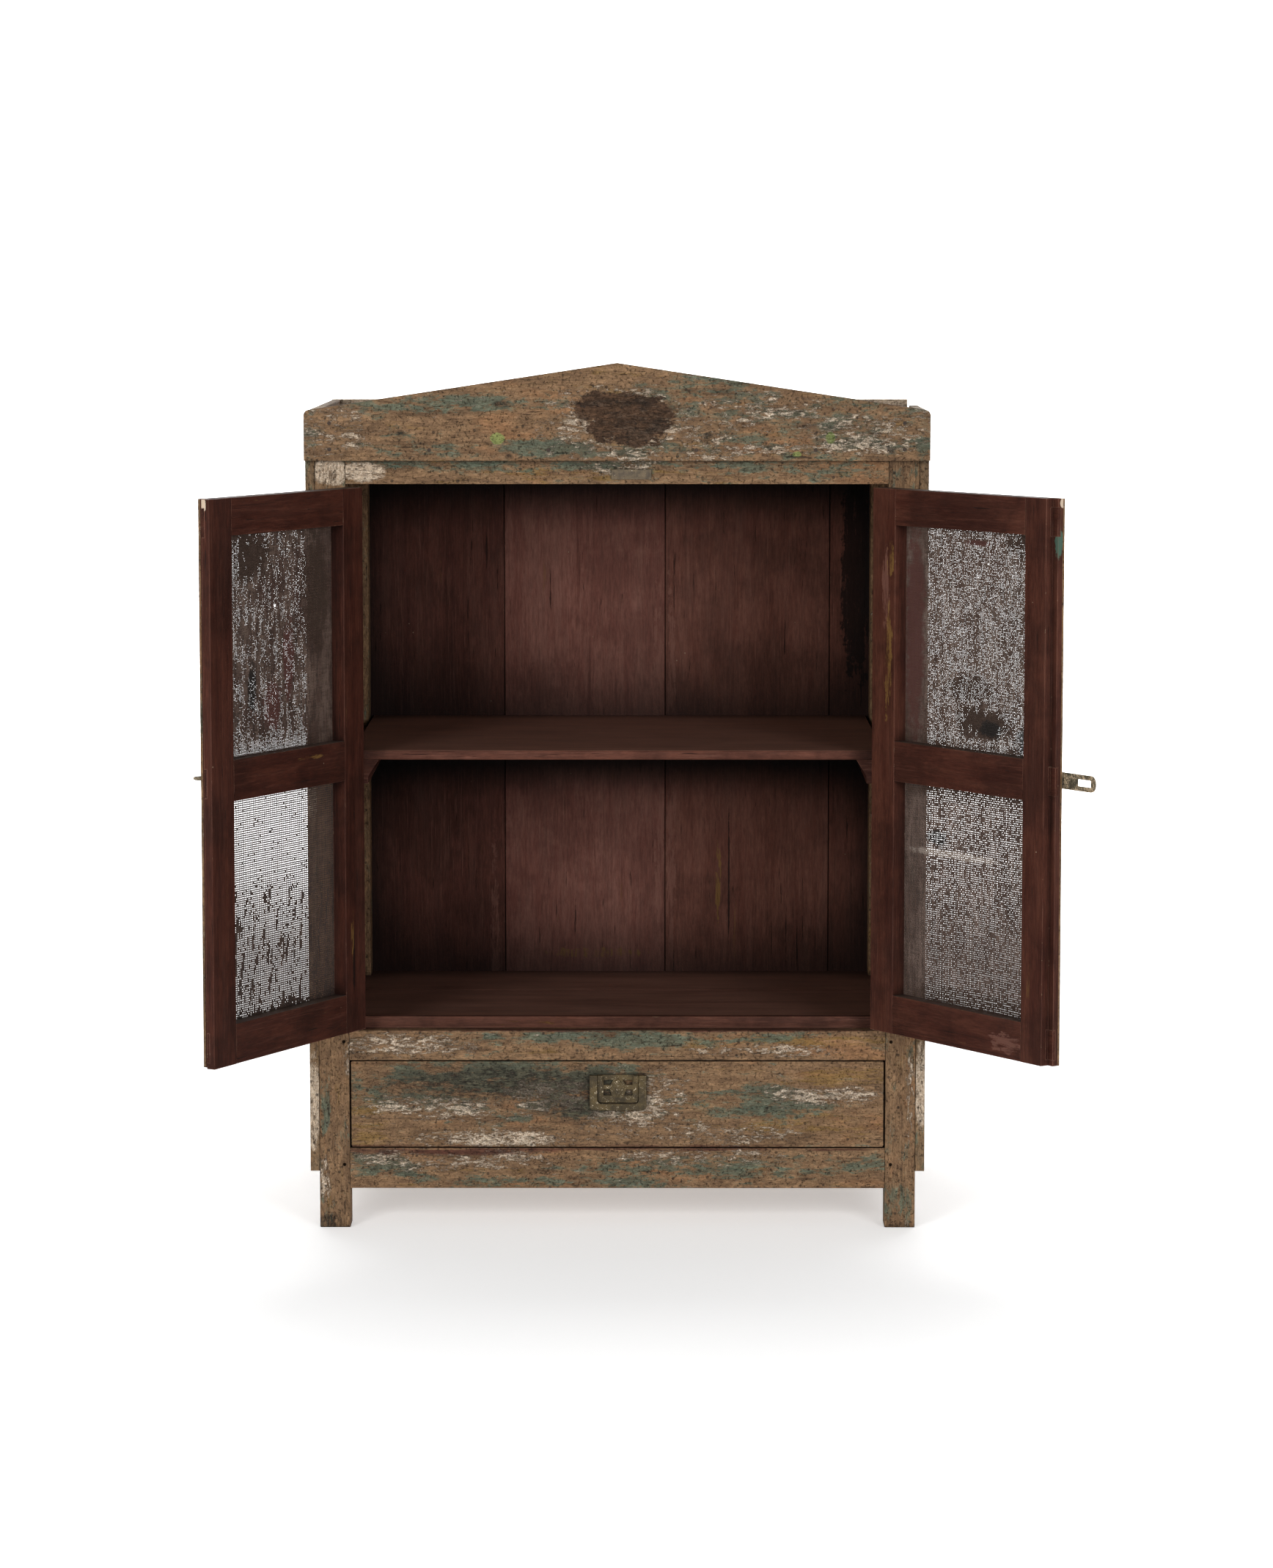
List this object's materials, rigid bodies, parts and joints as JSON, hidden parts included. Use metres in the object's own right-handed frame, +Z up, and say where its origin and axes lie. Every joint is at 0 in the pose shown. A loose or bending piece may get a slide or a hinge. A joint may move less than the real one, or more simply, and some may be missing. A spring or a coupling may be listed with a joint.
{
  "type": "mesh-door food safe",
  "caption": "Painted wooden food safe on square feet: a pair of wire-mesh doors with hasp and staple over a full-width drawer with a drop pull, shelf inside, gabled gallery on top.",
  "frame": {"origin": "on the floor, under the middle of the whole object as it stands with its doors open (the middle of the carcass front is 35 mm to -X and 99 mm to -Y of that point)", "axes": "+Z up; -Y the front, where the doors and the drawer open; +X to the right seen from the front"},
  "size_m": [1.1978, 0.9272, 1.217],
  "materials": {
    "worn_paint": "many worn coats of brown, green and cream paint over wood",
    "red_back": "old maroon paint, brushed thin, dusty",
    "red_inside": "old maroon paint, rubbed at the edges",
    "red_door": "old maroon paint, rubbed at the arrises",
    "bare_wood": "dusty unpainted hardwood",
    "wire_mesh": "dull woven wire clogged with old paint",
    "rusty_iron": "dark rusted iron",
    "cast_brass": "dull brown-green cast metal flecked with paint",
    "painted_iron": "iron strap with worn cream and green paint"
  },
  "bodies": {
    "carcass": {"post_front_left": "worn_paint", "post_front_right": "worn_paint", "post_rear_left": "worn_paint", "post_rear_right": "worn_paint", "top_rail": "worn_paint", "drawer_rail": "worn_paint", "bottom_rail": "worn_paint", "rear_rails": "bare_wood", "left_side_rails": "bare_wood", "right_side_rails": "bare_wood", "left_side_boards": "worn_paint", "right_side_boards": "worn_paint", "back_board_1": "red_back", "back_board_2": "red_back", "back_board_3": "red_back", "back_board_4": "red_back", "top_boards": "bare_wood", "back_gallery": "worn_paint", "pediment": "worn_paint", "floor_boards": "red_inside", "floor_stop": "red_inside", "shelf": "red_inside", "shelf_bearers": "red_inside", "drawer_runners": "bare_wood", "keeper_plate": "cast_brass", "nails": "rusty_iron", "post_hinge_leaves": "rusty_iron", "hinge_pins": "rusty_iron", "post_hinge_screws": "rusty_iron"},
    "left_door": {"left_door_hinge_stile": "red_door", "left_door_meeting_stile": "red_door", "left_door_top_rail": "red_door", "left_door_mid_rail": "red_door", "left_door_bottom_rail": "red_door", "left_door_lower_mesh": "wire_mesh", "left_door_upper_mesh": "wire_mesh", "left_door_beads": "worn_paint", "left_door_hinge_leaves": "rusty_iron", "left_door_screws": "rusty_iron", "staple": "painted_iron"},
    "right_door": {"right_door_hinge_stile": "red_door", "right_door_meeting_stile": "red_door", "right_door_top_rail": "red_door", "right_door_mid_rail": "red_door", "right_door_bottom_rail": "red_door", "right_door_lower_mesh": "wire_mesh", "right_door_upper_mesh": "wire_mesh", "right_door_beads": "worn_paint", "right_door_hinge_leaves": "rusty_iron", "right_door_screws": "rusty_iron", "hasp_plate": "painted_iron", "hasp_pin": "painted_iron"},
    "hasp": {"hasp_strap": "painted_iron"},
    "drawer": {"drawer_front": "worn_paint", "drawer_sides": "bare_wood", "drawer_back": "bare_wood", "drawer_bottom": "bare_wood", "pull_plate": "cast_brass"},
    "pull": {"drawer_pull": "cast_brass"}
  },
  "joints": [
    {"name": "left_door_hinge", "type": "hinge", "parent": "carcass", "child": "left_door", "pos_m": [-0.4114, -0.1025, 0.667], "axis": [0, 0, -1], "range_deg": [-118.4, 56]},
    {"name": "right_door_hinge", "type": "hinge", "parent": "carcass", "child": "right_door", "pos_m": [0.3414, -0.1025, 0.667], "axis": [0, 0, 1], "range_deg": [-125.3, 49]},
    {"name": "hasp_hinge", "type": "hinge", "parent": "right_door", "child": "hasp", "pos_m": [0.5586, -0.4077, 0.6705], "axis": [0, 0, 1], "range_deg": [0, 170]},
    {"name": "drawer_slide", "type": "slide", "parent": "carcass", "child": "drawer", "axis": [0, -1, 0], "range_m": [0, 0.36]},
    {"name": "drawer_pull_hinge", "type": "hinge", "parent": "drawer", "child": "pull", "pos_m": [-0.034, -0.1046, 0.2144], "axis": [-1, 0, 0], "range_deg": [0, 95]}
  ]
}
